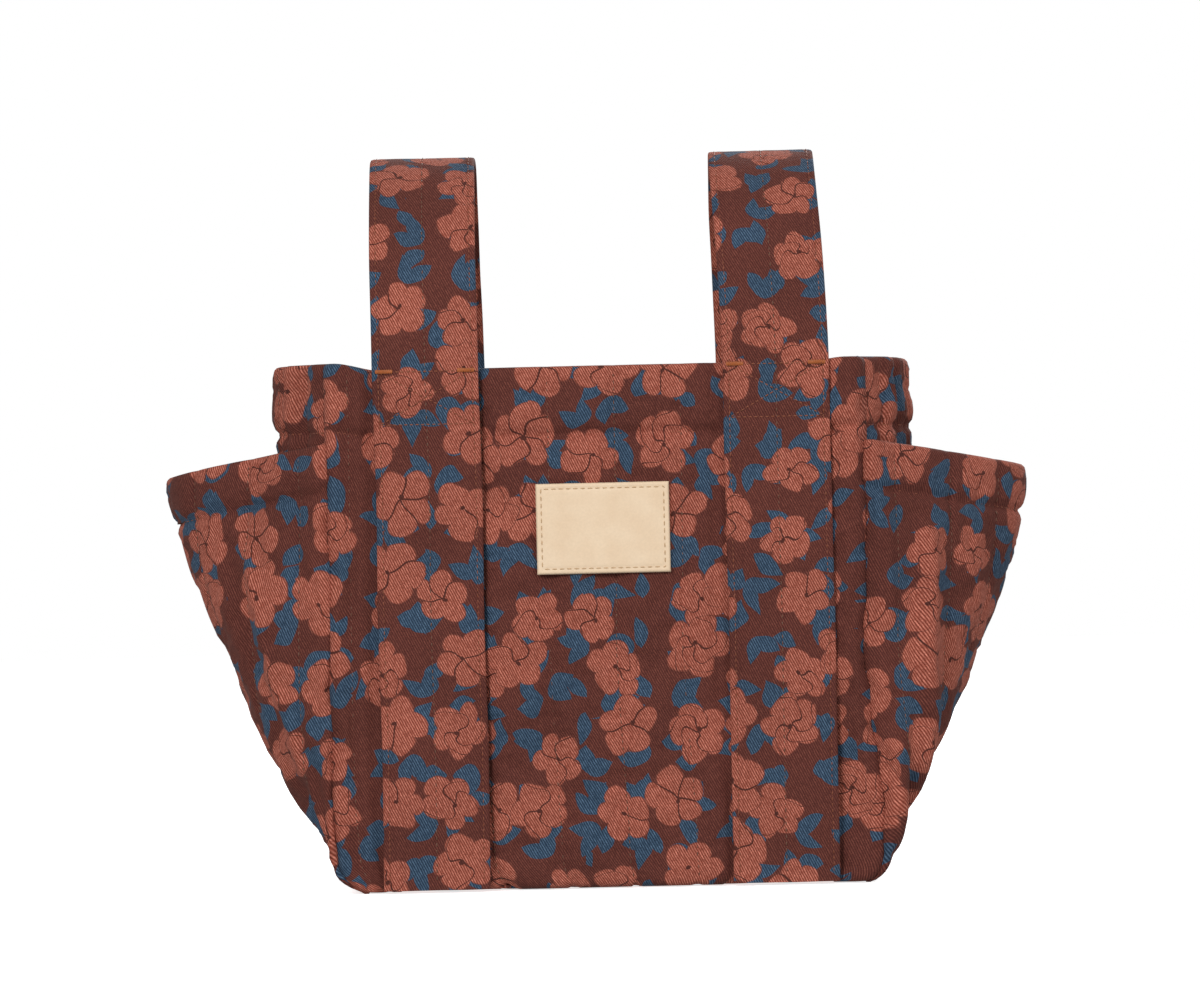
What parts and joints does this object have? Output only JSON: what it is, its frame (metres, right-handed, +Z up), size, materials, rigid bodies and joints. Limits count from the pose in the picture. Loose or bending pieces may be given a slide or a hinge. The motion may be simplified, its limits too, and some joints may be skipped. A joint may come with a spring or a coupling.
{
  "type": "diaper bag",
  "caption": "Small quilted stroller diaper bag with an open mouth, flared side pockets, a leather patch and wide straps that snap behind.",
  "frame": {"origin": "centre of the base's underside, midway between front and back panels", "axes": "+Z up, -Y out of the front panel that carries the leather patch, +X to the right as seen from the front"},
  "size_m": [0.3214, 0.1336, 0.275],
  "materials": {
    "printed_twill": "matte quilted cotton twill with a floral print",
    "wadding": "soft polyester wadding",
    "coated_lining": "satin water-resistant coated cotton",
    "elastic": "woven elastic",
    "label_leather": "matte natural vegetable-tanned leather",
    "snap_metal": "antique brass press stud",
    "board": "matte polyethylene sheet",
    "thread": "rust polyester thread"
  },
  "bodies": {
    "bag": {"back_lining": "coated_lining", "back_panel": "printed_twill", "back_wadding": "wadding", "bar_tacks": "thread", "base_board": "board", "base_lining": "coated_lining", "base_panel": "printed_twill", "base_wadding": "wadding", "front_lining": "coated_lining", "front_panel": "printed_twill", "front_wadding": "wadding", "leather_label": "label_leather", "left_back_band": "printed_twill", "left_front_band": "printed_twill", "left_pocket_facing": "printed_twill", "left_pocket_lining": "coated_lining", "left_pocket_panel": "printed_twill", "left_pocket_wadding": "wadding", "left_side_lining": "coated_lining", "left_side_panel": "printed_twill", "left_side_wadding": "wadding", "left_snap_studs": "snap_metal", "right_back_band": "printed_twill", "right_front_band": "printed_twill", "right_pocket_facing": "printed_twill", "right_pocket_lining": "coated_lining", "right_pocket_panel": "printed_twill", "right_pocket_wadding": "wadding", "right_side_lining": "coated_lining", "right_side_panel": "printed_twill", "right_side_wadding": "wadding", "right_snap_studs": "snap_metal", "rim_facing": "printed_twill", "slip_pocket": "coated_lining", "slip_pocket_elastic": "elastic"},
    "left_strap_front": {"left_strap": "printed_twill"},
    "left_strap_back": {"left_strap_tail": "printed_twill", "left_snap_socket": "snap_metal", "left_snap_cap": "snap_metal"},
    "right_strap_front": {"right_strap": "printed_twill"},
    "right_strap_back": {"right_strap_tail": "printed_twill", "right_snap_socket": "snap_metal", "right_snap_cap": "snap_metal"}
  },
  "joints": [
    {"name": "left_strap_swing", "type": "hinge", "parent": "bag", "child": "left_strap_front", "pos_m": [-0.065, -0.0635, 0.1968], "axis": [1, 0, 0], "range_deg": [0, 160]},
    {"name": "left_snap_opening", "type": "hinge", "parent": "left_strap_front", "child": "left_strap_back", "pos_m": [-0.065, 0.0024, 0.275], "axis": [1, 0, 0], "range_deg": [0, 120]},
    {"name": "right_strap_swing", "type": "hinge", "parent": "bag", "child": "right_strap_front", "pos_m": [0.065, -0.0635, 0.1968], "axis": [1, 0, 0], "range_deg": [0, 160]},
    {"name": "right_snap_opening", "type": "hinge", "parent": "right_strap_front", "child": "right_strap_back", "pos_m": [0.065, 0.0024, 0.275], "axis": [1, 0, 0], "range_deg": [0, 120]}
  ]
}
